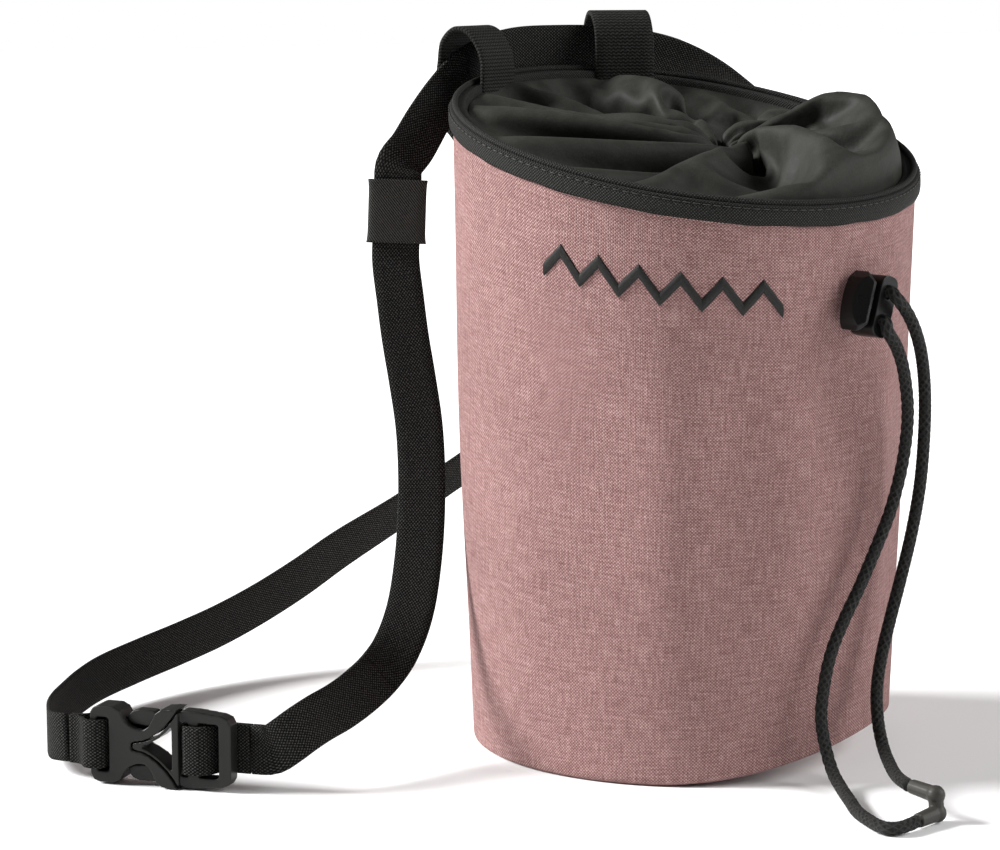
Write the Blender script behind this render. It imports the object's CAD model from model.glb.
import math

import bmesh
import bpy
import numpy as np
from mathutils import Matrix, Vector


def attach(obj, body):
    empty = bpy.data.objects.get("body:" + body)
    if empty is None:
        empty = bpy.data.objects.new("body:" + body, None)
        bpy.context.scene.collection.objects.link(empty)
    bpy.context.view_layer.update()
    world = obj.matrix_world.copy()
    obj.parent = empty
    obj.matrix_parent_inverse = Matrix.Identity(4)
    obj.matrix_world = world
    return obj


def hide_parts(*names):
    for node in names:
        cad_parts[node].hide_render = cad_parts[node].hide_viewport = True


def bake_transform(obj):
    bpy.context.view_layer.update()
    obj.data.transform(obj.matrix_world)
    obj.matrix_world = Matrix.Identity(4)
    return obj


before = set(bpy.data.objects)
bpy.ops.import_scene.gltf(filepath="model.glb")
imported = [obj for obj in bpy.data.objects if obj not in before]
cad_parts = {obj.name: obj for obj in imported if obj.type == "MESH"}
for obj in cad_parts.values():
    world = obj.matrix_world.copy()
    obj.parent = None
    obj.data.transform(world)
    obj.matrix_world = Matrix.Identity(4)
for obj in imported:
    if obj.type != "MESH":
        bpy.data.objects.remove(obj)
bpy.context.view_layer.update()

MM = 0.001
DEG = math.pi / 180

# Driving dimensions, as in the CAD
RIM_RADIUS = 72
BASE_RADIUS = 66
RIM_HEIGHT = 186.1
RIM_SLOPE = 0.24
BASE_LIFT = 11 # how far the base's edge stands off the ground, at the lift's centre
BASE_LIFT_CENTRE = -50 * DEG
BASE_LIFT_HALF_WIDTH = 85 * DEG
BASE_FLAT_RADIUS = 30
BINDING_HEIGHT = 6
PIPING_RADIUS = 0.95
SHELL_CLOTH = 0.7
BASE_CLOTH = 1.0
LINING_CLOTH = 0.6
SHELL_UNDER_TAPE = 4.6 # how far the shell goes up inside the binding
LINING_UNDER_TAPE = 3.4
LINING_LIFT = 3 # from the ground to the lining's floor
SEAM_HEIGHT = 1.6 # where the shell's wall starts above its foot
PUCKER = np.array([13.0, -3.0, 186.4])
CORD_DIAMETER = 3.8
LOCK_ANGLE = -78 * DEG
LOCK_TILT = -18 * DEG
LOCK_HEIGHT = 144.4
LOCK_DEPTH = 9
LOCK_STANDOFF = 1.6
CORD_SPACING = 9
STRAP_WIDTH = 15
STRAP_THICKNESS = 1.4
LAYER_OFFSET = 1.7 # from the belt's middle to that of its doubled tail
LOOP_WIDTH = 20
LOOP_THICKNESS = 1.5
LOOPS = {"left": (118 * DEG, 22.4), "right": (72 * DEG, 25.4)} # angle, and height over the rim
BUCKLE_LEFT = np.array([-182.4, 47.7, 12.4])
BUCKLE_HEADING = -50.4 * DEG

# Camera and studio, in metres
CAMERA_PLACE = (-0.57885, -0.81747, 0.2514)
CAMERA_FORWARD = (0.52397, 0.83853, -0.14944)
CAMERA_SENSOR_MM = 36
CAMERA_LENS_MM = 115.2
FAR_CLIP = 20
ROOM_LIGHT = 0.15 # the room's strength as a light. The camera sees it at full strength.
FLOOR_HALF_WIDTH = 6


# ---- camera, light and floor

def add_camera():
    data = bpy.data.cameras.new("camera")
    data.sensor_width = CAMERA_SENSOR_MM
    data.lens = CAMERA_LENS_MM
    data.clip_end = FAR_CLIP
    camera = bpy.data.objects.new("camera", data)
    bpy.context.scene.collection.objects.link(camera)
    camera.location = CAMERA_PLACE
    camera.rotation_euler = Vector(CAMERA_FORWARD).to_track_quat("-Z", "Y").to_euler()
    bpy.context.scene.camera = camera


def add_sun(name, towards, strength, softness):
    """A soft light that is as strong everywhere. towards points at it."""
    data = bpy.data.lights.new(name, "SUN")
    data.energy = strength
    data.angle = softness
    light = bpy.data.objects.new(name, data)
    bpy.context.scene.collection.objects.link(light)
    light.rotation_euler = Vector(towards).to_track_quat("Z", "Y").to_euler()


def add_studio():
    """A white room and floor, a soft sun from the left and a weaker one from the right."""
    bpy.context.scene.view_settings.view_transform = "Standard"
    world = bpy.data.worlds.new("studio")
    world.use_nodes = True
    nodes = world.node_tree.nodes
    background = nodes["Background"]
    seen = nodes.new("ShaderNodeLightPath")
    level = nodes.new("ShaderNodeMapRange")
    level.inputs["To Min"].default_value = ROOM_LIGHT
    level.inputs["To Max"].default_value = 1.0
    world.node_tree.links.new(seen.outputs["Is Camera Ray"], level.inputs["Value"])
    world.node_tree.links.new(level.outputs["Result"], background.inputs["Strength"])
    background.inputs["Color"].default_value = (1, 1, 1, 1)
    bpy.context.scene.world = world
    add_sun("key", (-0.7, 0.49, 0.52), 6.9, 20 * DEG)
    add_sun("right_fill", (0.7, -0.5, 0.5), 2.8, 40 * DEG)
    mesh = bpy.data.meshes.new("floor")
    square = ((-1, -1), (1, -1), (1, 1), (-1, 1))
    corners = [(x * FLOOR_HALF_WIDTH, y * FLOOR_HALF_WIDTH, 0) for x, y in square]
    mesh.from_pydata(corners, [], [(0, 1, 2, 3)])
    floor = bpy.data.objects.new("floor", mesh)
    bpy.context.scene.collection.objects.link(floor)
    material = bpy.data.materials.new("floor_white")
    material.use_nodes = True
    shader = material.node_tree.nodes["Principled BSDF"]
    shader.inputs["Base Color"].default_value = (0.93, 0.93, 0.93, 1)
    shader.inputs["Roughness"].default_value = 0.9
    mesh.materials.append(material)


# ---- materials

def neutral(level):
    """A near grey, slightly warm."""
    return (level, level, level * 0.92)


class Shader:
    """A material on one Principled shader, with short calls for its nodes."""

    def __init__(self, name, **constants):
        self.material = bpy.data.materials.new(name)
        self.material.use_nodes = True
        self.tree = self.material.node_tree
        self.surface = self.tree.nodes["Principled BSDF"]
        for socket, value in constants.items():
            self.surface.inputs[socket.replace("_", " ")].default_value = value

    def node(self, kind, links=(), **settings):
        made = self.tree.nodes.new(kind)
        for key, value in settings.items():
            setattr(made, key, value)
        for socket, value in dict(links).items():
            self.connect(value, made.inputs[socket])
        return made

    def connect(self, value, socket):
        if isinstance(value, bpy.types.NodeSocket):
            self.tree.links.new(value, socket)
        else:
            socket.default_value = value

    def math(self, operation, a, b=0.0):
        made = self.node("ShaderNodeMath", operation=operation)
        self.connect(a, made.inputs[0])
        self.connect(b, made.inputs[1])
        return made.outputs[0]

    def cloth_place(self):
        """The place on the cloth, in millimetres, as two sockets and one vector."""
        place = self.node("ShaderNodeUVMap", uv_map="cloth").outputs["UV"]
        parts = self.node("ShaderNodeSeparateXYZ", {"Vector": place})
        return parts.outputs["X"], parts.outputs["Y"], place

    def solid_place(self):
        return self.node("ShaderNodeTexCoord").outputs["Object"]

    def times(self, a, b):
        return self.math("MULTIPLY", a, b)

    def plus(self, a, b):
        return self.math("ADD", a, b)

    def wave(self, place, pitch):
        """A sine of a place, that repeats every two pitches."""
        return self.math("SINE", self.times(place, math.pi / pitch))

    def noise(self, vector, scale, detail=2.0, roughness=0.5, stretch=(1, 1, 1)):
        mapped = self.node("ShaderNodeMapping", {"Vector": vector, "Scale": stretch}).outputs[0]
        links = {"Vector": mapped, "Scale": scale, "Detail": detail, "Roughness": roughness}
        return self.node("ShaderNodeTexNoise", links).outputs["Fac"]

    def ramp(self, factor, stops):
        """Colours between stops, each a position and a colour."""
        made = self.node("ShaderNodeValToRGB", {"Fac": factor})
        elements = made.color_ramp.elements
        while len(elements) < len(stops):
            elements.new(0.5)
        for element, (position, colour) in zip(elements, stops):
            element.position = position
            element.color = (*colour, 1)
        return made.outputs["Color"]

    def range(self, value, low, high, to_low, to_high):
        """The value moved from one range to another."""
        links = {"Value": value, "From Min": low, "From Max": high, "To Min": to_low, "To Max": to_high}
        return self.node("ShaderNodeMapRange", links).outputs["Result"]

    def tint(self, colour, factor):
        """The colour times a brightness near 1."""
        made = self.node("ShaderNodeVectorMath", operation="SCALE")
        self.connect(colour, made.inputs[0])
        self.connect(factor, made.inputs["Scale"])
        return made.outputs[0]

    def bump(self, height, distance, strength):
        """A relief whose height runs over a distance in metres."""
        links = {"Height": height, "Distance": distance, "Strength": strength}
        return self.node("ShaderNodeBump", links).outputs["Normal"]

    def finish(self, colour, roughness, normal=None):
        self.connect(colour, self.surface.inputs["Base Color"])
        self.connect(roughness, self.surface.inputs["Roughness"])
        if normal is not None:
            self.connect(normal, self.surface.inputs["Normal"])
        return self.material


def melange_canvas():
    """Dusty pink plain weave, with lighter and darker yarns."""
    s = Shader("melange_canvas", Specular_IOR_Level=0.12)
    u, v, place = s.cloth_place()
    checks = s.times(s.wave(u, 0.52), s.wave(v, 0.52))
    warp = s.noise(place, 1.0, 1.5, 0.6, (1.4, 0.12, 1))
    weft = s.noise(place, 1.0, 1.5, 0.6, (0.12, 1.4, 1))
    grain = s.noise(place, 1.3, 1.0, 0.5)
    broad = s.noise(place, 0.02, 2.0, 0.5)
    yarn = s.plus(s.times(warp, 0.34), s.times(weft, 0.34))
    uneven = s.plus(yarn, s.times(grain, 0.3))
    mixed = s.plus(uneven, s.times(checks, 0.24))
    dark = (0.145, 0.069, 0.066)
    mid = (0.29, 0.161, 0.154)
    bright = (0.6, 0.41, 0.39)
    colour = s.ramp(mixed, [(0.22, dark), (0.5, mid), (0.8, bright)])
    colour = s.tint(colour, s.range(broad, 0.3, 0.7, 0.95, 1.05))
    height = s.plus(s.math("ABSOLUTE", checks), s.times(grain, 0.5))
    return s.finish(colour, 0.92, s.bump(height, 0.00028, 0.8))


def nylon_webbing(name, pitch, rib, light, crossing, ribbing):
    """Near black webbing. pitch and rib are half the weave's repeat along and across it, light is how
    bright its raised threads are, and crossing and ribbing are how far its crossings and ribs stand up."""
    s = Shader(name, Specular_IOR_Level=0.08)
    u, v, place = s.cloth_place()
    checks = s.times(s.wave(u, pitch), s.wave(v, rib))
    fibre = s.noise(place, 1.6, 2.0, 0.6)
    ribs = s.math("ABSOLUTE", s.wave(u, 2 * pitch))
    weave = s.plus(s.times(checks, crossing), s.times(ribs, ribbing))
    raised = s.plus(weave, fibre)
    colour = s.ramp(raised, [(0.3, neutral(0.002)), (0.65, neutral(0.0075)), (1.0, neutral(light))])
    return s.finish(colour, s.range(fibre, 0.3, 0.7, 0.62, 0.85), s.bump(raised, 0.00035, 0.9))


def keeper_elastic():
    """Finer twill, with ribs that run slantwise."""
    s = Shader("keeper_twill", Specular_IOR_Level=0.14)
    u, v, place = s.cloth_place()
    slant = s.plus(u, s.times(v, 0.8))
    twill = s.wave(slant, 0.85)
    fibre = s.noise(place, 2.0, 2.0, 0.6)
    raised = s.plus(s.math("ABSOLUTE", twill), s.times(fibre, 0.5))
    colour = s.ramp(raised, [(0.4, neutral(0.003)), (0.85, neutral(0.013)), (1.0, neutral(0.05))])
    return s.finish(colour, 0.8, s.bump(raised, 0.0003, 0.9))


def binding_tape():
    """Ballistic nylon: bold dark blocks of basket weave."""
    s = Shader("binding_tape", Specular_IOR_Level=0.14)
    u, v, place = s.cloth_place()
    checks = s.times(s.wave(u, 0.48), s.wave(v, 0.48))
    fibre = s.noise(place, 1.8, 2.0, 0.6)
    raised = s.plus(s.times(checks, 0.5), fibre)
    colour = s.ramp(raised, [(0.3, neutral(0.0045)), (0.62, neutral(0.013)), (1.0, neutral(0.06))])
    return s.finish(colour, 0.7, s.bump(raised, 0.0003, 0.9))


def coated_nylon():
    """Thin dark olive grey nylon, with a dull shine and fine wrinkles."""
    s = Shader("coated_nylon", Specular_IOR_Level=0.12)
    place = s.solid_place()
    crush = s.noise(place, 120.0, 4.0, 0.55)
    thread = s.noise(place, 2600.0, 1.0, 0.5)
    colour = s.ramp(crush, [(0.3, (0.019, 0.0195, 0.0165)), (0.7, (0.032, 0.033, 0.0278))])
    colour = s.tint(colour, s.range(thread, 0.3, 0.7, 0.85, 1.15))
    height = s.plus(crush, s.times(thread, 0.05))
    return s.finish(colour, s.range(crush, 0.3, 0.7, 0.55, 0.7), s.bump(height, 0.0012, 0.35))


def fleece():
    """The lining's short pile."""
    s = Shader("lining_fleece", Sheen_Weight=0.1)
    place = s.solid_place()
    pile = s.noise(place, 900.0, 4.0, 0.7)
    colour = s.ramp(pile, [(0.3, neutral(0.02)), (0.7, neutral(0.06))])
    return s.finish(colour, 1.0, s.bump(pile, 0.0008, 0.7))


def moulded(name, colour, roughness):
    """Moulded plastic with a fine spark-eroded grain."""
    s = Shader(name, Specular_IOR_Level=0.25)
    place = s.solid_place()
    grain = s.noise(place, 2400.0, 2.0, 0.6)
    flow = s.noise(place, 90.0, 2.0, 0.5)
    brighter = tuple(c * 1.2 for c in colour)
    tone = s.ramp(flow, [(0.35, colour), (0.65, brighter)])
    polish = s.range(flow, 0.3, 0.7, roughness - 0.05, roughness + 0.07)
    return s.finish(tone, polish, s.bump(grain, 0.00008, 0.5))


def braid():
    """Black braided sheath: strands that cross, each a bundle of fine filaments."""
    s = Shader("braided_cord", Specular_IOR_Level=0.25)
    u, v, place = s.cloth_place()
    leaning = s.times(v, 1.25)
    one = s.wave(s.plus(u, leaning), 1.25)
    two = s.wave(s.math("SUBTRACT", u, leaning), 1.25)
    strands = s.math("MAXIMUM", one, two)
    filament = s.noise(place, 2.2, 3.0, 0.7, (1, 2.5, 1))
    raised = s.plus(s.times(strands, 0.5), filament)
    colour = s.ramp(raised, [(0.4, neutral(0.0025)), (0.85, neutral(0.0085)), (1.0, neutral(0.025))])
    return s.finish(colour, s.range(filament, 0.3, 0.7, 0.5, 0.72), s.bump(raised, 0.00045, 0.9))


def sewing_thread(name, colour):
    """Twisted thread, brighter where a ply turns to the light."""
    s = Shader(name, Specular_IOR_Level=0.3)
    place = s.solid_place()
    ply = s.noise(place, 1800.0, 2.0, 0.6)
    brighter = tuple(c * 2.2 for c in colour)
    tone = s.ramp(ply, [(0.35, colour), (0.7, brighter)])
    return s.finish(tone, 0.5, s.bump(ply, 0.0001, 0.6))


def spring_wire():
    """Drawn steel wire."""
    s = Shader("spring_wire", Metallic=1.0)
    place = s.solid_place()
    drawn = s.noise(place, 1500.0, 2.0, 0.5)
    tone = s.ramp(drawn, [(0.3, (0.45, 0.45, 0.44)), (0.7, (0.6, 0.6, 0.59))])
    return s.finish(tone, s.range(drawn, 0.3, 0.7, 0.25, 0.4))


# ---- mesh helpers

def link_piece(name, mesh, material, body, nodes=()):
    """Makes the mesh a piece that stands for its CAD nodes. It rides on a body by name, or is blended
    between two bodies: their names, and the places where the turn from one to the other starts and ends."""
    piece = bpy.data.objects.new(name, mesh)
    bpy.context.scene.collection.objects.link(piece)
    mesh.materials.clear()
    mesh.materials.append(material)
    for polygon in mesh.polygons:
        polygon.use_smooth = True
    if isinstance(body, str):
        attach(piece, body)
    else:
        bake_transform(piece)
    if nodes:
        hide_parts(*nodes)
    return piece


def mesh_of(name, vertices, faces, corners=None):
    """A mesh from millimetres, faces turned outwards. corners holds a cloth place for each face corner."""
    mesh = bpy.data.meshes.new(name)
    mesh.from_pydata([tuple(v) for v in np.asarray(vertices, float) * MM], [], faces)
    if corners is not None:
        layer = mesh.uv_layers.new(name="cloth")
        layer.data.foreach_set("uv", np.asarray(corners, np.float32).ravel())
    mesh.update()
    solid = bmesh.new()
    solid.from_mesh(mesh)
    bmesh.ops.recalc_face_normals(solid, faces=solid.faces)
    solid.to_mesh(mesh)
    solid.free()
    return mesh


def weld(mesh, distance):
    """Joins the points that lie on each other, such as those on the axis of a turned disc."""
    solid = bmesh.new()
    solid.from_mesh(mesh)
    bmesh.ops.remove_doubles(solid, verts=solid.verts, dist=distance)
    solid.to_mesh(mesh)
    solid.free()


def skin(name, grid, along, girth, ring=False, axis=False):
    """A skin through rows of section points. It is a ring or capped at both ends, and each section is
    closed, unless both its ends are on the bag's axis. along and girth are cloth lengths along the rows
    and round a section, with one more than there are where they close."""
    rows, count, _ = grid.shape
    faces = []
    corners = []
    for i in range(rows if ring else rows - 1):
        k = (i + 1) % rows
        for j in range(count - 1 if axis else count):
            m = (j + 1) % count
            faces.append((i * count + j, i * count + m, k * count + m, k * count + j))
            corners += [(along[i], girth[j]), (along[i], girth[j + 1])]
            corners += [(along[i + 1], girth[j + 1]), (along[i + 1], girth[j])]
    if not ring:
        for i in (0, rows - 1):
            faces.append(tuple(range(i * count, (i + 1) * count)))
            corners += [(along[i], girth[j]) for j in range(count)]
    return mesh_of(name, grid.reshape(-1, 3), faces, corners)


def lengths_along(points, closed=False):
    """Running length at each point, with one more at the end where the line closes."""
    line = np.vstack([points, points[:1]]) if closed else points
    return np.concatenate([[0], np.cumsum(np.linalg.norm(np.diff(line, axis=0), axis=1))])


def unit(vectors):
    return vectors / np.linalg.norm(vectors, axis=-1, keepdims=True)


class Curve:
    """The same centripetal Catmull-Rom curve that the CAD lays its straps and cords on."""

    def __init__(self, points):
        p = np.array(points, float)
        self.points = np.vstack([2 * p[0] - p[1], p, 2 * p[-1] - p[-2]])
        self.spans = len(p) - 1

    def at(self, share):
        x = np.clip(np.asarray(share, float) * self.spans, 0, self.spans - 1e-9)
        i = x.astype(int)
        w = (x - i)[:, None]
        p0, p1, p2, p3 = (self.points[i + k] for k in range(4))
        pairs = ((p0, p1), (p1, p2), (p2, p3))
        d0, d1, d2 = (np.sum((b - a) ** 2, axis=1, keepdims=True) ** 0.25 for a, b in pairs)
        d1 = np.where(d1 < 1e-4, 1.0, d1)
        d0 = np.where(d0 < 1e-4, d1, d0)
        d2 = np.where(d2 < 1e-4, d1, d2)
        t1 = d1 * ((p1 - p0) / d0 - (p2 - p0) / (d0 + d1) + (p2 - p1) / d1)
        t2 = d1 * ((p2 - p1) / d1 - (p3 - p1) / (d1 + d2) + (p3 - p2) / d2)
        cubic = -3 * p1 + 3 * p2 - 2 * t1 - t2
        quartic = 2 * p1 - 2 * p2 + t1 + t2
        return p1 + t1 * w + cubic * w ** 2 + quartic * w ** 3


class Line:
    """A curve that is walked by its length in millimetres."""

    def __init__(self, points):
        self.curve = Curve(points)
        self.shares = np.linspace(0, 1, 40 * len(points) + 1)
        self.lengths = lengths_along(self.curve.at(self.shares))
        self.total = self.lengths[-1]

    def share_at(self, length):
        return np.interp(length, self.lengths, self.shares)

    def length_at_point(self, index):
        return float(np.interp(index / self.curve.spans, self.shares, self.lengths))

    def at(self, length):
        return self.curve.at(self.share_at(length))


def tangents(points):
    return unit(np.gradient(points, axis=0))


def turns_of(steps):
    """The angles of equal steps once round."""
    return np.arange(steps) * 2 * math.pi / steps


def strap_section(width, thickness):
    """Points round a strap's section, across and through it, with rounded edges."""
    half, deep = width / 2, thickness / 2
    flat = np.linspace(-1, 1, 7) * (half - 0.35)
    face = [(s, deep) for s in flat]
    edge = [(half - 0.08, deep * 0.72), (half, 0), (half - 0.08, -deep * 0.72)]
    back = [(s, -deep) for s in flat[::-1]]
    return np.array(face + edge + back + [(-a, b) for a, b in edge[::-1]])


def strap_mesh(name, points, normals, width=STRAP_WIDTH, thickness=STRAP_THICKNESS, offset=0.0, start=0.0):
    """A strap along points that faces normals, offset off them. start is where its weave begins."""
    along = tangents(points)
    flat = unit(normals - along * np.sum(normals * along, axis=1, keepdims=True))
    side = np.cross(flat, along)
    section = strap_section(width, thickness)
    across = section[None, :, :1] * side[:, None, :]
    through = (section[None, :, 1:] + offset) * flat[:, None, :]
    grid = points[:, None, :] + across + through
    return skin(name, grid, start + lengths_along(points), lengths_along(section, closed=True))


def tube_grid(points, radius_at, sides):
    """Rings round a line, carried along without twist. radius_at(length, angle) gives the surface."""
    along = tangents(points)
    normal = np.cross(along[0], (0.0, 0.0, 1.0))
    if np.linalg.norm(normal) < 1e-3:
        normal = np.array([1.0, 0.0, 0.0])
    normal = unit(normal)
    run = lengths_along(points)
    angles = turns_of(sides)
    rows = []
    for place, direction, length in zip(points, along, run):
        normal = unit(normal - direction * np.dot(normal, direction))
        other = np.cross(direction, normal)
        radius = radius_at(length, angles)[:, None]
        rows.append(place + radius * (np.cos(angles)[:, None] * normal + np.sin(angles)[:, None] * other))
    return np.array(rows), run


def stitch(start, end, out, radius, rise):
    """One stitch of thread: a short arched capsule. Returns its vertices and faces."""
    start, end, out = (np.asarray(p, float) for p in (start, end, out))
    along = unit(end - start)
    side = np.cross(along, out)
    shares = np.array([0.0, 0.12, 0.35, 0.65, 0.88, 1.0])
    thick = np.array([0.35, 0.8, 1.0, 1.0, 0.8, 0.35]) * radius
    lift = np.sin(math.pi * shares) ** 0.6 * rise
    sides = 6
    angles = np.arange(sides) * math.pi / 3
    vertices = []
    for share, size, up in zip(shares, thick, lift):
        middle = start + (end - start) * share + out * up
        vertices += [middle + size * (math.cos(a) * out + math.sin(a) * side) for a in angles]
    faces = []
    for i in range(len(shares) - 1):
        for j in range(sides):
            m = (j + 1) % sides
            faces.append((i * sides + j, i * sides + m, (i + 1) * sides + m, (i + 1) * sides + j))
    faces += [tuple(range(sides)), tuple(range(len(vertices) - sides, len(vertices)))]
    return vertices, faces


def stitches_mesh(name, places):
    """A mesh of stitches. Each place is a start, an end, the way out of the cloth, a radius and a rise."""
    vertices = []
    faces = []
    for place in places:
        more_vertices, more_faces = stitch(*place)
        first = len(vertices)
        vertices += more_vertices
        faces += [tuple(first + k for k in face) for face in more_faces]
    return mesh_of(name, vertices, faces)


# ---- the bag's shape

def wall_radius(z):
    return BASE_RADIUS + (RIM_RADIUS - BASE_RADIUS) * z / RIM_HEIGHT


def rim_height(angle):
    return RIM_HEIGHT + RIM_SLOPE * RIM_RADIUS * np.sin(angle)


def base_lift(angle):
    turn = np.arctan2(np.sin(angle - BASE_LIFT_CENTRE), np.cos(angle - BASE_LIFT_CENTRE))
    share = np.minimum(1, np.abs(turn) / BASE_LIFT_HALF_WIDTH)
    return BASE_LIFT * (0.5 + 0.5 * np.cos(math.pi * share))


def around(angle, out, z, across=0.0):
    """A place at an angle round the bag, so far out from its axis and across it."""
    x = out * np.cos(angle) - across * np.sin(angle)
    y = out * np.sin(angle) + across * np.cos(angle)
    return np.stack(np.broadcast_arrays(x, y, z), axis=-1)


def smoothstep(x, low, high):
    t = np.clip((x - low) / (high - low), 0, 1)
    return t * t * (3 - 2 * t)


# Soft dents and swells of the cloth: angle, share of the height, widths of both, and depth
DENTS = [
    (-150, 0.62, 16, 0.22, -1.4), (-128, 0.4, 10, 0.3, 1.5), (-112, 0.52, 9, 0.3, -1.7),
    (-96, 0.34, 8, 0.26, 1.4), (-84, 0.66, 7, 0.1, -2.0), (-66, 0.45, 9, 0.3, 1.5),
    (-50, 0.55, 10, 0.32, -1.5), (-168, 0.25, 12, 0.2, 1.2), (-132, 0.12, 14, 0.12, -1.2),
    (-98, 0.1, 10, 0.1, -1.4), (-20, 0.5, 18, 0.3, 1.4), (20, 0.4, 20, 0.3, -1.4),
    (60, 0.55, 16, 0.25, 1.2), (105, 0.35, 18, 0.3, -1.4), (150, 0.5, 14, 0.3, 1.4),
]


def cloth_swell(angle, share):
    """How far the shell's cloth stands out from a true cone."""
    swell = np.zeros(np.broadcast(angle, share).shape)
    for centre, level, wide, tall, depth in DENTS:
        turn = np.arctan2(np.sin(angle - centre * DEG), np.cos(angle - centre * DEG)) / DEG
        swell += depth * np.exp(-((turn / wide) ** 2) - ((share - level) / tall) ** 2)
    ripple = np.sin(angle * 23 + 2.1) * 0.5 + np.sin(angle * 37 + 0.4) * 0.35 + np.sin(angle * 11) * 0.4
    near_rim = np.exp(-((1 - share) / 0.07) ** 2)
    near_base = np.exp(-(share / 0.035) ** 2)
    swell += ripple * (0.30 * near_rim + 0.28 * near_base)
    return swell * smoothstep(share, -0.02, 0.06) * (1 - 0.75 * smoothstep(share, 0.94, 1.0))


def turned_mesh(name, section_at, steps, radius, axis=False):
    """A closed section turned round the bag. section_at(angle) gives its radii and heights, and its cloth
    is as long as a circle of the radius."""
    sections = [(theta, np.asarray(section_at(theta), float)) for theta in turns_of(steps)]
    grid = np.array([around(theta, section[:, 0], section[:, 1]) for theta, section in sections])
    run = np.arange(steps + 1) * 2 * math.pi * radius / steps
    mesh = skin(name, grid, run, lengths_along(grid[0], closed=True), ring=True, axis=axis)
    if axis:
        weld(mesh, 1e-7)
    return mesh


def bag_shell(materials):
    """The outer cloth, turned in at the foot where the base is sewn on."""
    turned_in = np.array([(62.5, 0.5), (63.6, 0.15), (64.8, 0.25), (65.7, 0.8)])
    share = np.linspace(0, 1, 120)

    def section_at(theta):
        foot = base_lift(theta)
        top = rim_height(theta) + SHELL_UNDER_TAPE
        z = foot + SEAM_HEIGHT + (top - foot - SEAM_HEIGHT) * share
        outer = wall_radius(z) + cloth_swell(theta, share)
        hem = turned_in + (0, foot)
        fold = hem[::-1] + (-SHELL_CLOTH, SHELL_CLOTH)
        inner = np.stack([outer - SHELL_CLOTH, z + 0.2], axis=1)
        return np.vstack([hem, np.stack([outer, z], axis=1), inner[::-1], fold])

    mesh = turned_mesh("bag_shell", section_at, 288, 69)
    link_piece("bag_shell", mesh, materials["shell"], "bag", ["outer_shell"])


def bag_base(materials):
    """The base: flat in the middle, slack and lifted towards its edge."""
    radii = np.array([0, 6, 12, 18, 24, 30, 36, 42, 48, 53, 57, 60, 62, 63.4])
    outwards = smoothstep(radii, BASE_FLAT_RADIUS, 45)

    def section_at(theta):
        lift = base_lift(theta) * smoothstep(radii, BASE_FLAT_RADIUS, BASE_RADIUS)
        slack = (0.35 * np.sin(radii / 7 + 3 * np.cos(theta)) + 0.4) * outwards
        under = np.stack([radii, lift + slack], axis=1)
        return np.vstack([under, (under + (0, BASE_CLOTH))[::-1]])

    mesh = turned_mesh("bag_base", section_at, 96, 40, axis=True)
    for loop, place in zip(mesh.loops, mesh.uv_layers["cloth"].data):
        place.uv = mesh.vertices[loop.vertex_index].co.xy / MM
    link_piece("bag_base", mesh, materials["shell"], "bag", ["base_panel"])


def bag_lining(materials):
    """The fleece inside, a slack cup one layer in from the shell."""
    share = np.linspace(0, 1, 40)

    def section_at(theta):
        foot = base_lift(theta) + LINING_LIFT
        rim = rim_height(theta)
        z = foot + (rim + LINING_UNDER_TAPE - foot) * share
        inset = 5.9 - 3.4 * smoothstep(z, rim - 12, rim - 4)
        folds = 0.5 * np.sin(theta * 9 + share * 4) * np.sin(math.pi * share)
        outer = wall_radius(z) - inset + folds
        floor = np.array([(0, 2.2), (20, 2.2), (35, 2.4), (48, 2.8), (56, 3)])
        floor[:, 1] += (foot - LINING_LIFT) * smoothstep(floor[:, 0], BASE_FLAT_RADIUS, BASE_RADIUS)
        outside = np.vstack([floor, np.stack([outer, z], axis=1)])
        on_floor = np.arange(len(outside))[:, None] < len(floor)
        inside = outside + np.where(on_floor, (0, LINING_CLOTH), (-LINING_CLOTH, 0))
        return np.vstack([outside, inside[::-1]])

    mesh = turned_mesh("bag_lining", section_at, 128, 66, axis=True)
    nodes = ["lining_wall", "lining_base"]
    link_piece("bag_lining", mesh, materials["fleece"], "bag", nodes)


def binding_section(theta):
    """The tape: down outside the shell, over the rim and the piping's foot, and down inside."""
    rim = float(rim_height(theta))
    r = wall_radius(rim)
    wobble = 0.12 * math.sin(17 * theta) + 0.08 * math.sin(31 * theta + 1)
    outline = [
        (0.35, 0.1), (1.0, -0.15 + wobble), (1.35, 0.5), (1.5, 1.6), (1.5, 3.0), (1.35, 4.2), (1.0, 4.8),
        (0.9, 5.05), (1.1, 5.35), (0.9, 5.85), (0.2, 6.05), (-1.6, 6.1), (-3.4, 6.0), (-4.2, 5.6),
        (-4.4, 4.8), (-4.4, 1.2), (-3.9, 0.6), (-3.5, 1.2), (-3.5, 4.6), (-2.8, 5.1), (-0.4, 5.1), (0.3, 4.6),
    ]
    return [(r + a, rim + b) for a, b in outline]


def piping_section(theta):
    """A round roll on top of the tape."""
    rim = float(rim_height(theta)) + BINDING_HEIGHT + 0.75
    middle = wall_radius(rim) - 0.75
    return [(middle + PIPING_RADIUS * math.cos(t), rim + PIPING_RADIUS * math.sin(t)) for t in turns_of(10)]


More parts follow.
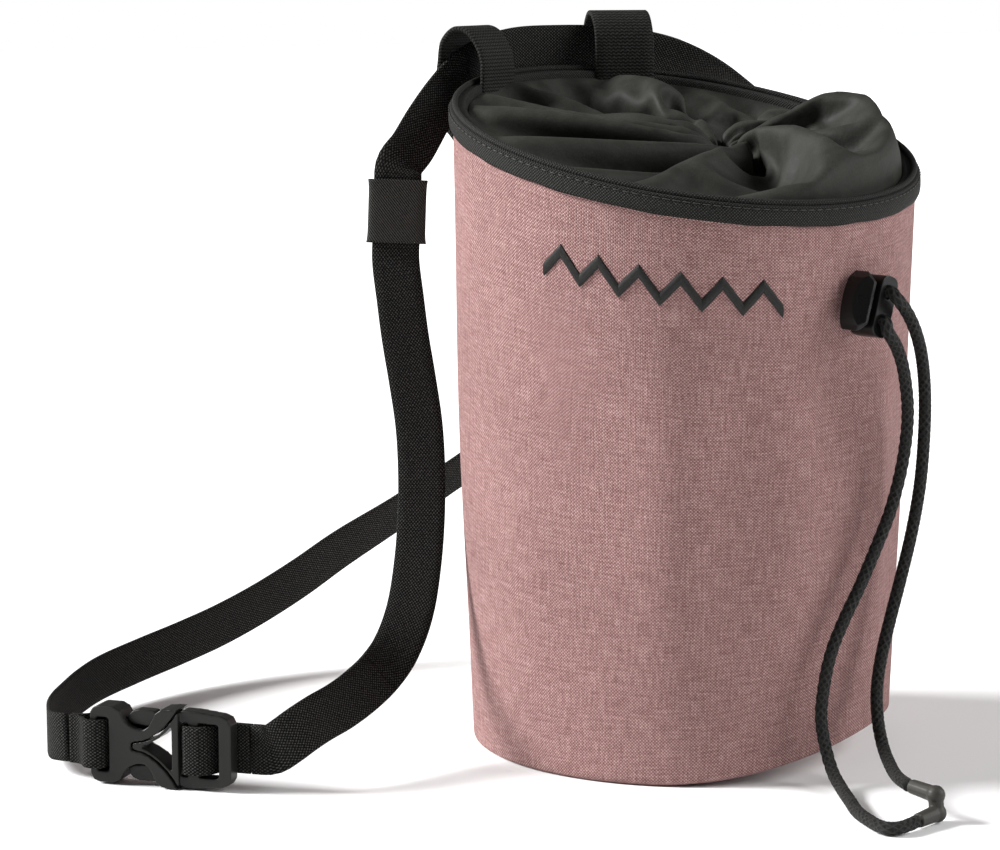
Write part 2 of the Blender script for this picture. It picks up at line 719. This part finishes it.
def rim_trim(materials):
    """The tape bound over the rim, the piping on it, and the line of stitches that holds the tape."""
    for name, section_at, node in (("rim_binding_tape", binding_section, "rim_binding"),
                                   ("rim_piping_roll", piping_section, "rim_piping")):
        mesh = turned_mesh(name, section_at, 288, RIM_RADIUS)
        link_piece(name, mesh, materials["binding"], "bag", [node])
    places = []
    pitch = 2.32 * DEG
    stitched_share = 0.74
    thread_radius, rise = 0.2, 0.16
    for k in range(int(2 * math.pi / pitch)):
        angles = k * pitch + np.array([0, pitch * stitched_share])
        rim = rim_height(angles)
        start, end = around(angles, wall_radius(rim) + 1.2, rim + 4.75)
        out = around(angles.mean(), 1.0, 0.0)
        places.append((start, end, out, thread_radius, rise))
    mesh = stitches_mesh("rim_stitching", places)
    link_piece("rim_stitching", mesh, materials["light_thread"], "bag")


# ---- the gathered closure

TWIST = 50 * DEG # how far the folds wind round before they reach the pucker
SLEEVE_HEIGHT = 84 # the closure's cut height, from the rim to its hem
SLEEVE_SLANT = 4 # how much lower and higher it is cut, on the pucker's side and opposite
SIM_SCALE = 0.01 # ten times life size, where Blender's cloth is steady
SIM_FRAMES = 50
DRAWN_SHARE = 0.75 # of the frames, until the hem is drawn in. The cloth settles in the rest.
NYLON_THICKNESS = 0.35


def hem_ring(theta):
    """The gathered hem: a small pleated ring at the pucker."""
    ring = 3.4 + 1.2 * np.sin(13 * theta) + 0.5 * np.sin(5 * theta)
    return around(theta + TWIST, ring, 0.0) + PUCKER + (0, 0, -2.0)


def simulated_sleeve(steps, levels):
    """Stands the closure's sleeve up on the rim as it was cut, and draws its hem in as cloth."""
    theta, share = np.meshgrid(turns_of(steps), np.linspace(0, 1, levels), indexing="ij")
    rim = rim_height(theta)
    slack = np.sin(9 * theta + 1) + np.sin(14 * theta + 2.6) + np.sin(5 * theta + 4.4)
    out = wall_radius(rim) - 4.3 + 0.8 * slack * share * (1 - share)
    height = SLEEVE_HEIGHT - SLEEVE_SLANT * np.cos(theta - math.atan2(PUCKER[1], PUCKER[0]))
    standing = around(theta, out, rim + 3.8 + height * share)
    faces = []
    for i in range(steps):
        k = (i + 1) % steps
        for j in range(levels - 1):
            faces.append((i * levels + j, k * levels + j, k * levels + j + 1, i * levels + j + 1))
    mesh = bpy.data.meshes.new("sleeve")
    mesh.from_pydata([tuple(v) for v in standing.reshape(-1, 3) * SIM_SCALE], [], faces)
    sleeve = bpy.data.objects.new("sleeve", mesh)
    bpy.context.scene.collection.objects.link(sleeve)
    sleeve.shape_key_add(name="standing")
    drawn_in = sleeve.shape_key_add(name="drawn_in")
    hem = hem_ring(turns_of(steps)) * SIM_SCALE
    for i in range(steps):
        drawn_in.data[i * levels + levels - 1].co = hem[i]
    held = sleeve.vertex_groups.new(name="held")
    ends = [i * levels + j for j in (0, levels - 1) for i in range(steps)]
    held.add(ends, 1.0, "REPLACE")
    cloth = sleeve.modifiers.new("cloth", "CLOTH")
    fabric = {
        "quality": 6, "mass": 0.15, "tension_stiffness": 25, "compression_stiffness": 4,
        "shear_stiffness": 5, "bending_stiffness": 2.5, "air_damping": 4, "vertex_group_mass": "held",
    }
    for setting, value in fabric.items():
        setattr(cloth.settings, setting, value)
    cloth.settings.effector_weights.gravity = 0.05
    cloth.collision_settings.use_self_collision = True
    cloth.collision_settings.self_distance_min = 0.011
    cloth.collision_settings.collision_quality = 2
    cloth.point_cache.frame_start = 1
    cloth.point_cache.frame_end = SIM_FRAMES
    for value, frame_number in ((0, 1), (1, int(SIM_FRAMES * DRAWN_SHARE))):
        drawn_in.value = value
        drawn_in.keyframe_insert("value", frame=frame_number)
    scene = bpy.context.scene
    for frame_number in range(1, SIM_FRAMES + 1):
        scene.frame_set(frame_number)
    depsgraph = bpy.context.evaluated_depsgraph_get()
    settled = sleeve.evaluated_get(depsgraph).data
    places = np.empty(len(settled.vertices) * 3)
    settled.vertices.foreach_get("co", places)
    bpy.data.objects.remove(sleeve)
    scene.frame_set(1)
    return places.reshape(steps, levels, 3) / SIM_SCALE


def gathered_closure(materials):
    """The collar of thin nylon over the mouth, as a skin of two sides."""
    steps, levels = 160, 28
    outer = simulated_sleeve(steps, levels)
    after = np.roll(outer, -1, axis=0) - np.roll(outer, 1, axis=0)
    normal = unit(np.cross(after, np.gradient(outer, axis=1)) + 1e-9)
    normal *= -1 if normal[:, :4, 2].mean() > 0 else 1
    inner = outer + NYLON_THICKNESS * normal
    grid = np.concatenate([outer, inner[:, ::-1]], axis=1)
    run = np.arange(steps + 1) * 2 * math.pi * 67 / steps
    depth = np.linspace(0, SLEEVE_HEIGHT, levels)
    lengths = np.concatenate([depth, depth[::-1] + 0.4, [0]])
    mesh = subdivided(skin("gathered_closure", grid, run, lengths, ring=True))
    nodes = ["closure_collar"]
    piece = link_piece("gathered_closure", mesh, materials["nylon"], "bag", nodes)


def subdivided(mesh):
    """The mesh with one level of smooth subdivision applied."""
    carrier = bpy.data.objects.new("carrier", mesh)
    bpy.context.scene.collection.objects.link(carrier)
    carrier.modifiers.new("smooth", "SUBSURF").levels = 1
    depsgraph = bpy.context.evaluated_depsgraph_get()
    made = bpy.data.meshes.new_from_object(carrier.evaluated_get(depsgraph))
    bpy.data.objects.remove(carrier)
    made.name = mesh.name + "_fine"
    return made


def closure_hem(materials):
    """The cord's ring in the hem, below the pucker."""
    angles = turns_of(96)
    ring = around(angles, 6.2, 0.0) + PUCKER + (0, 0, -9.0)
    closed = np.vstack([ring, ring[:1]])
    grid, run = tube_grid(closed, braid_radius(1.6), 16)
    mesh = skin("closure_hem_braid", grid[:-1], run, np.arange(17) * 0.6, ring=True)
    link_piece("closure_hem_braid", mesh, materials["cord"], "bag", ["closure_hem_cord"])


# ---- cords

# Where the free strands run, from the lock to the clip
UPPER_CORD = [
    [18.9, -82.4, 147], [22.6, -82, 143.2], [26.9, -80.6, 137.9], [31.1, -78.5, 131.2],
    [34.1, -76.7, 123.5], [36.2, -75.1, 114], [37.3, -73.6, 102], [37, -72.5, 88], [34.8, -71.9, 74.3],
    [31.4, -71.4, 60.6], [27.7, -71, 47.5], [24.4, -71.2, 36.4], [21.9, -72.4, 26.8], [19.7, -75.6, 19.2],
    [16, -82.5, 13], [9.7, -94.3, 9.5], [4.6, -104.3, 8.6], [1, -113.8, 8.8],
]
LOWER_CORD = [
    [15.6, -82.2, 137.6], [19.1, -81.7, 133.2], [22.8, -80.3, 127.4], [25.8, -78.6, 120.4],
    [27.7, -77.4, 113], [28.4, -76.1, 104], [27.3, -75, 93], [24, -74.5, 81.5], [18.7, -74.2, 70],
    [13, -74.1, 59.2], [7.5, -74, 49.9], [3, -73.8, 40.3], [0.6, -73.6, 30], [0, -73.4, 20],
    [0.6, -75, 11.5], [-0.6, -80, 5.6], [-4.2, -89, 3], [-9.4, -99.6, 2.4], [-15, -110.6, 2.3],
    [-17.8, -119.6, 2.3], [-18.8, -124.6, 2.3], [-18.2, -128.2, 2.3], [-15.4, -129.6, 2.3],
    [-11.6, -129, 2.4], [-7.7, -127.9, 2.6],
]
BRAID_STEP = 0.42 # between the sections of a braid
GIVING_LENGTH = 30 # how much of a cord gives way when the lock slides, from the wall


def braid_radius(radius):
    """The surface of a braid: two sets of strands that cross over and under each other."""
    strands = 5
    lay = 8.0

    def radius_at(length, angles):
        turn = 2 * math.pi * length / lay
        one = np.sin(strands * angles + strands * turn / 2)
        two = np.sin(strands * angles - strands * turn / 2)
        return radius * (0.94 + 0.09 * np.maximum(one, two))

    return radius_at


def add_cord(name, side, free_points, node, materials):
    """A strand from the bag's wall through the lock and down to the clip. side is 1 for the upper one."""
    across = -side * CORD_SPACING / 2 * math.sin(LOCK_TILT)
    height = LOCK_HEIGHT + side * CORD_SPACING / 2 * math.cos(LOCK_TILT)
    wall = wall_radius(LOCK_HEIGHT)
    face = wall + LOCK_STANDOFF + LOCK_DEPTH
    through = [around(LOCK_ANGLE, out, height, across) for out in (wall - SHELL_CLOTH, face - 4, face + 1)]
    line = Line([*through, *free_points])
    points = line.at(np.arange(0, line.total, BRAID_STEP))
    grid, run = tube_grid(points, braid_radius(CORD_DIAMETER / 2), 24)
    mesh = skin(name, grid, run, np.arange(25) * math.pi * CORD_DIAMETER / 24)
    follows = ("bag", "cord_lock", points[int(GIVING_LENGTH / BRAID_STEP)] * MM, through[2] * MM)
    piece = link_piece(name, mesh, materials["cord"], follows, [node])


# ---- moulded pieces from their CAD shapes

def moulded_piece(name, node, material, body, voxel, rounds, facets=()):
    """A copy of the CAD piece, with flats cut off it, and its edges rounded as a mould leaves them."""
    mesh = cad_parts[node].data.copy()
    weld(mesh, 1e-6)
    solid = bmesh.new()
    solid.from_mesh(mesh)
    for point, normal in facets:
        everything = solid.verts[:] + solid.edges[:] + solid.faces[:]
        cut = bmesh.ops.bisect_plane(solid, geom=everything, plane_co=point, plane_no=normal,
                                     clear_outer=True)
        rim = [edge for edge in cut["geom_cut"] if isinstance(edge, bmesh.types.BMEdge)]
        bmesh.ops.edgenet_fill(solid, edges=rim)
    solid.to_mesh(mesh)
    solid.free()
    piece = bpy.data.objects.new(name, mesh)
    bpy.context.scene.collection.objects.link(piece)
    remesh = piece.modifiers.new("remesh", "REMESH")
    remesh.mode = "VOXEL"
    remesh.voxel_size = voxel * MM
    soften = piece.modifiers.new("soften", "SMOOTH")
    soften.factor = 0.5
    soften.iterations = rounds
    depsgraph = bpy.context.evaluated_depsgraph_get()
    rounded = bpy.data.meshes.new_from_object(piece.evaluated_get(depsgraph))
    bpy.data.objects.remove(piece)
    link_piece(name, rounded, material, body, [node])


def button_facets():
    """The flats of the lock's button, as planes: its thumb side slopes, and so do both its ends."""
    origin = around(LOCK_ANGLE, wall_radius(LOCK_HEIGHT) + LOCK_STANDOFF, LOCK_HEIGHT)
    out = around(LOCK_ANGLE, 1.0, 0.0)
    level = around(LOCK_ANGLE + math.pi / 2, 1.0, 0.0)
    across = level * math.cos(LOCK_TILT) + np.array([0, 0, math.sin(LOCK_TILT)])
    up = np.array([0, 0, math.cos(LOCK_TILT)]) - level * math.sin(LOCK_TILT)
    axes = np.array([out, across, up])
    flats = [
        ((8.8, -7.4, 0), (0.52, -0.85, 0)),
        ((8.8, 0, 6.0), (0.62, 0, 0.78)), ((8.8, 0, -6.6), (0.62, 0, -0.78)),
        ((0, -10.1, 5.4), (0, -0.72, 0.69)), ((0, -10.1, -6.2), (0, -0.72, -0.69)),
    ]
    return [((origin + np.array(point) @ axes) * MM, np.array(normal) @ axes) for point, normal in flats]


def moulded_pieces(materials):
    buckle, lock = materials["buckle"], materials["lock"]
    moulded_piece("end_clip", "cord_end_clip", materials["clip"], "bag", 0.3, 4)
    for name, body, voxel in (("socket", "bag", 0.3), ("plug", "plug_half", 0.3),
                              ("prong_upper", "prong_upper", 0.25), ("prong_lower", "prong_lower", 0.25)):
        moulded_piece(f"{name}_moulding", f"buckle_{name}", buckle, body, voxel, 3)
    moulded_piece("lock_body_moulding", "cord_lock_body", lock, "cord_lock", 0.22, 3)
    moulded_piece("lock_button_moulding", "cord_lock_button", lock, "lock_button", 0.2, 2,
                  button_facets())


# ---- the belt

# Where the belt runs, and which way its face looks there
BELT_ROUTE = np.array([
    (-188.2, 54.7, 12.4, -0.771, -0.638, 0), (-189.6, 57.6, 12.2, -0.87, -0.5, 0),
    (-189.9, 63.6, 11.5, -0.98, -0.1, 0), (-187, 71.9, 10.8, -0.96, 0.28, 0),
    (-181.9, 83, 10.2, -0.9, 0.44, 0), (-175.7, 93.3, 9.8, -0.84, 0.54, 0),
    (-167.1, 104.4, 9.8, -0.76, 0.65, 0), (-157.5, 115, 10.4, -0.69, 0.72, 0),
    (-144.8, 125.9, 11.4, -0.6, 0.8, 0), (-124.9, 137, 13, -0.5, 0.86, 0),
    (-106.3, 144.3, 15.2, -0.36, 0.93, 0), (-88.4, 149.5, 18.5, -0.25, 0.96, 0),
    (-71, 152.9, 23.7, -0.15, 0.98, 0.05), (-54.4, 154.3, 30.7, -0.08, 0.99, 0.1),
    (-37.5, 155.5, 39, 0, 0.97, 0.2), (-14.6, 154.2, 50.2, 0.05, 0.9, 0.4),
    (10.4, 149.2, 65.1, 0.15, 0.8, 0.55), (44.5, 137.3, 87.4, 0.4, 0.85, 0.3),
    (75.8, 121.3, 108.4, 0.55, 0.8, 0.1), (99, 103.5, 127.4, 0.75, 0.65, 0),
    (110, 89, 146.4, 0.95, 0.3, 0.05), (109, 79.5, 164.4, 0.95, 0, 0.3),
    (99.5, 75.7, 181.4, 0.8, 0.05, 0.6), (84.4, 74.6, 194, 0.6, 0.2, 0.78),
    (70, 73, 202.5, 0.48, 0.4, 0.78), (55.1, 71.4, 208.7, 0.44, 0.7, 0.55),
    (40.1, 71.6, 213.2, 0.42, 0.88, 0.2), (24, 74, 215.8, 0.31, 0.95, 0),
    (3, 77, 216.6, 0.03, 1, 0), (-18, 76, 215.6, -0.25, 0.97, 0),
    (-38, 69.8, 209.9, -0.25, 0.96, 0), (-47.2, 66.4, 203, 0.05, 1, 0),
    (-55.9, 63, 194.8, 0.25, 0.95, 0), (-63.1, 60.4, 186.8, 0.42, 0.9, 0),
    (-69.1, 58.7, 181, 0.53, 0.848, 0), (-69.9, 58, 174, 0.53, 0.848, 0),
    (-70.6, 57.4, 166.9, 0.53, 0.848, 0), (-71.4, 56.7, 159, 0.53, 0.848, 0),
    (-72, 56, 151.5, 0.53, 0.848, 0), (-71.5, 54.1, 139.4, 0.53, 0.848, 0),
    (-70.7, 52.5, 127.4, 0.53, 0.848, 0), (-69.5, 50.2, 114, 0.53, 0.848, 0),
    (-68.8, 47.4, 100, 0.53, 0.848, 0), (-69.6, 44.5, 87, 0.53, 0.848, 0),
    (-72, 40.6, 73, 0.53, 0.848, -0.1), (-76.4, 35.4, 58.5, 0.53, 0.848, -0.2),
    (-83.4, 28.5, 44.8, 0.53, 0.848, -0.25), (-91.4, 22.9, 35.2, 0.5, 0.848, -0.2),
    (-100.4, 17.9, 29, 0.46, 0.86, -0.1), (-110.1, 13.3, 25.2, 0.4, 0.88, -0.25),
    (-119.1, 9.6, 22.6, 0.34, 0.88, -0.35), (-127.7, 6.7, 20.7, 0.32, 0.88, -0.35),
    (-135.2, 4.3, 18.5, 0.4, 0.86, -0.25), (-140.4, 4.6, 15.6, 0.6, 0.78, -0.1),
    (-144.1, 7.2, 12.8, 0.771, 0.638, 0), (-148, 11.9, 12.4, 0.771, 0.638, 0),
])
END_POINT = 48 # where the stretch that follows the plug begins
KEEPER_POINT = 36 # the middle of the keeper
TAIL_POINT = 34 # just before the free end of the tail
KEEPER_HALF_LENGTH = 10
KEEPER_HALF_WIDTH = 9.15
KEEPER_HALF_DEPTH = 3.0
KEEPER_CLOTH = 0.85


def belt_pieces(materials):
    """The belt and its doubled tail. Beyond END_POINT both give way when the buckle comes apart."""
    line = Line(BELT_ROUTE[:, :3])
    facing = Curve(BELT_ROUTE[:, 3:])
    cut = line.length_at_point(END_POINT)
    tail = line.length_at_point(TAIL_POINT) + 2

    def stretch(name, start, end, offset):
        count = max(2, int((end - start) / 1.6))
        run = np.linspace(start, end, count)
        return strap_mesh(name, line.at(run), facing.at(line.share_at(run)), offset=offset, start=start)

    giving = ("bag", "plug_half", *(line.at(np.array([cut, line.total])) * MM))
    stretches = [
        ("belt_strap", 0.1, cut, 0, "bag", ["belt_rear", "belt_between_loops", "belt_front"]),
        ("belt_tail_strap", tail, cut, LAYER_OFFSET, "bag", ["belt_tail"]),
        ("belt_strap_end", cut, line.total, 0, giving, ["belt_front_end"]),
        ("belt_tail_strap_end", cut, line.total, LAYER_OFFSET, giving, ["belt_tail_end"]),
    ]
    for name, start, end, offset, body, nodes in stretches:
        link_piece(name, stretch(name, start, end, offset), materials["webbing"], body, nodes)
    add_keeper(line, facing, materials)


def add_keeper(line, facing, materials):
    """The keeper: a flat tube of finer webbing round both layers, with a slight lip at each end."""
    middle = line.length_at_point(KEEPER_POINT)
    run = middle + np.linspace(-KEEPER_HALF_LENGTH, KEEPER_HALF_LENGTH, 21)
    centre = line.at(run)
    along = unit(centre[-1] - centre[0])
    spine = centre[10] + along * (run - middle)[:, None]
    normal = facing.at(line.share_at(np.array([middle])))[0]
    normal = unit(normal - along * np.dot(normal, along))
    side = np.cross(normal, along)
    turns = turns_of(40)
    squared_x = np.sign(np.cos(turns)) * np.abs(np.cos(turns)) ** 0.28
    squared_y = np.sign(np.sin(turns)) * np.abs(np.sin(turns)) ** 0.43
    lip = 0.35 * np.linspace(-1, 1, len(run))[:, None, None] ** 6
    x = squared_x[None, :, None] * (KEEPER_HALF_WIDTH + lip)
    y = squared_y[None, :, None] * (KEEPER_HALF_DEPTH + lip)
    core = (spine + normal * (LAYER_OFFSET / 2))[:, None, :]
    outer = core + x * side + y * normal
    inner = outer - KEEPER_CLOTH * unit(outer - core)
    grid = np.concatenate([outer, inner[::-1]], axis=0).transpose(1, 0, 2)
    lengths = np.concatenate([run - run[0], (run - run[0])[::-1] + 1, [0]])
    mesh = skin("belt_keeper_band", grid, lengths_along(outer[10], closed=True), lengths, ring=True)
    link_piece("belt_keeper_band", mesh, materials["keeper"], "keeper", ["belt_keeper"])


def buckle_place(x, y):
    """A place in the buckle's own length and depth, at its middle height."""
    cosine, sine = math.cos(BUCKLE_HEADING), math.sin(BUCKLE_HEADING)
    return BUCKLE_LEFT + np.array([x * cosine - y * sine, x * sine + y * cosine, 0])


def wrap_piece(name, path, material, body, nodes):
    """Webbing turned round a bar of the buckle."""
    line = Line([buckle_place(x, y) for x, y in path])
    run = np.linspace(0, line.total, int(line.total / 0.6))
    points = line.at(run)
    normals = np.cross(tangents(points), (0.0, 0.0, 1.0))
    link_piece(name, strap_mesh(name, points, normals), material, body, nodes)


def buckle_webbing(materials):
    sewn_loop = [
        (-8.2, -0.85), (-6, -0.95), (-4, -1.8), (-1, -5), (1.5, -5.3), (3.6, -4.4), (4.2, 0),
        (3.6, 4.4), (1.5, 5.3), (-1, 5), (-4, 1.8), (-6, 0.95), (-8.2, 0.85),
    ]
    wrap_piece("belt_socket_turn", sewn_loop, materials["webbing"], "bag", ["belt_sewn_loop"])
    ladder_wrap = [
        (49, 3.7), (45, 3.7), (42.2, 3.8), (40.6, 3.4), (39.4, 2), (38.4, 0), (37, -2.2), (35.2, -3.6),
        (33, -3.8), (31, -3.5), (30.1, -2.2), (30.1, 0), (30.1, 2.2), (31, 4.2), (33.4, 5.3), (38, 5.5),
        (45, 5.4), (49, 5.4),
    ]
    wrap_piece("belt_ladder_turn", ladder_wrap, materials["webbing"], "plug_half", ["belt_ladder_wrap"])


def loop_piece(side, materials):
    """A belt loop: up inside the rim, over, down outside, and sewn to the shell with a bar of stitches."""
    angle, height = LOOPS[side]
    rim = float(rim_height(angle))
    r = wall_radius(rim)
    inner = r - 4.9
    outer = r + 2.2
    belly = r + 11
    profile = [
        (inner, rim - 4), (inner, rim + 4), (inner + 0.1, rim + 12), (inner + 1.6, rim + height - 6),
        (inner + 5.6, rim + height - 1.0), (inner + 10.2, rim + height), (belly - 1.2, rim + height - 4),
        (belly, rim + 12), (belly + 0.8, rim + 2), (belly, rim - 6), (outer + 3.4, rim - 12.5),
        (outer + 0.2, rim - 17), (outer - 0.4, rim - 24),
    ]
    line = Line([around(angle, out, z) for out, z in profile])
    run = np.linspace(0, line.total, int(line.total / 0.8))
    points = line.at(run)
    across = around(angle + math.pi / 2, 1.0, 0.0)
    normals = np.cross(across, tangents(points))
    name = f"loop_{side}_webbing"
    mesh = strap_mesh(name, points, normals, width=LOOP_WIDTH, thickness=LOOP_THICKNESS)
    link_piece(name, mesh, materials["loop_webbing"], "bag", [f"belt_loop_{side}"])
    bar = around(angle, r + 3.1, rim - 20.5)
    half_bar, stitches = 8, 30
    thread_radius, rise = 0.27, 0.12
    half_stitch = 0.12 * across + (0, 0, 1.3)
    out = around(angle, 1.0, 0.0)
    middles = bar + np.linspace(-half_bar, half_bar, stitches)[:, None] * across
    places = [(m - half_stitch, m + half_stitch, out, thread_radius, rise) for m in middles]
    name = f"loop_{side}_bartack"
    nodes = [f"loop_bartack_{side}"]
    link_piece(name, stitches_mesh(name, places), materials["thread"], "bag", nodes)


# ---- embroidery

def zigzag_embroidery(materials):
    """Satin stitch along a zigzag: every stitch is a thread across the stroke."""
    start, end = -161 * DEG, -101 * DEG
    peaks, drop, swing, stroke = 6, 21.5, 3.6, 4.2
    stitches_per_leg = 26
    thread_radius, rise = 0.2, 0.42
    places = []
    count = peaks * 2 * stitches_per_leg
    for k in range(count + 1):
        share = k / count
        angle = start + (end - start) * share
        phase = (share * peaks) % 1.0
        zig = 1 - 4 * abs(phase - 0.5)
        z = float(rim_height(angle)) - drop + swing * zig
        level = z / float(rim_height(angle))
        out = wall_radius(z) + float(cloth_swell(angle, level)) + 0.05
        lower = around(angle, out, z - stroke / 2)
        upper = around(angle, out, z + stroke / 2)
        places.append((lower, upper, around(angle, 1.0, 0.0), thread_radius, rise))
    mesh = stitches_mesh("zigzag_embroidery", places)
    link_piece("zigzag_embroidery", mesh, materials["thread"], "bag", ["stitched_zigzag"])


# ---- everything together

def make_materials():
    """Every finish by its short name."""
    return {
        "shell": melange_canvas(),
        "webbing": nylon_webbing("belt_webbing", 0.62, 0.5, 0.07, 0.42, 0.12),
        "loop_webbing": nylon_webbing("loop_webbing", 0.55, 0.8, 0.035, 0.2, 0.36),
        "keeper": keeper_elastic(),
        "binding": binding_tape(),
        "nylon": coated_nylon(),
        "fleece": fleece(),
        "buckle": moulded("buckle_acetal", (0.0095, 0.0098, 0.0086), 0.38),
        "lock": moulded("lock_nylon", (0.004, 0.004, 0.0038), 0.3),
        "clip": moulded("clip_nylon", (0.03, 0.029, 0.025), 0.5),
        "stiffener": moulded("rim_strip", (0.012, 0.012, 0.012), 0.5),
        "cord": braid(),
        "thread": sewing_thread("sewing_thread", neutral(0.008)),
        "light_thread": sewing_thread("light_thread", neutral(0.018)),
        "wire": spring_wire(),
    }


def dress_cad_nodes(materials):
    """The CAD nodes that stay: hidden or small pieces whose shape is right."""
    finishes = {
        "rim_stiffener": "stiffener",
        "cord_exit_eyelet": "lock",
        "cord_lock_spring": "wire",
        "drawcord_riser_upper": "cord",
        "drawcord_riser_lower": "cord",
    }
    for node, finish in finishes.items():
        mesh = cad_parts[node].data
        mesh.materials.clear()
        mesh.materials.append(materials[finish])


def dress_bag():
    """Makes every piece."""
    materials = make_materials()
    dress_cad_nodes(materials)
    moulded_pieces(materials)
    add_cord("drawcord_upper_braid", 1, UPPER_CORD, "drawcord_upper", materials)
    add_cord("drawcord_lower_braid", -1, LOWER_CORD, "drawcord_lower", materials)
    bag_shell(materials)
    bag_base(materials)
    bag_lining(materials)
    rim_trim(materials)
    gathered_closure(materials)
    closure_hem(materials)
    belt_pieces(materials)
    buckle_webbing(materials)
    loop_piece("left", materials)
    loop_piece("right", materials)
    zigzag_embroidery(materials)


add_camera()
add_studio()
dress_bag()
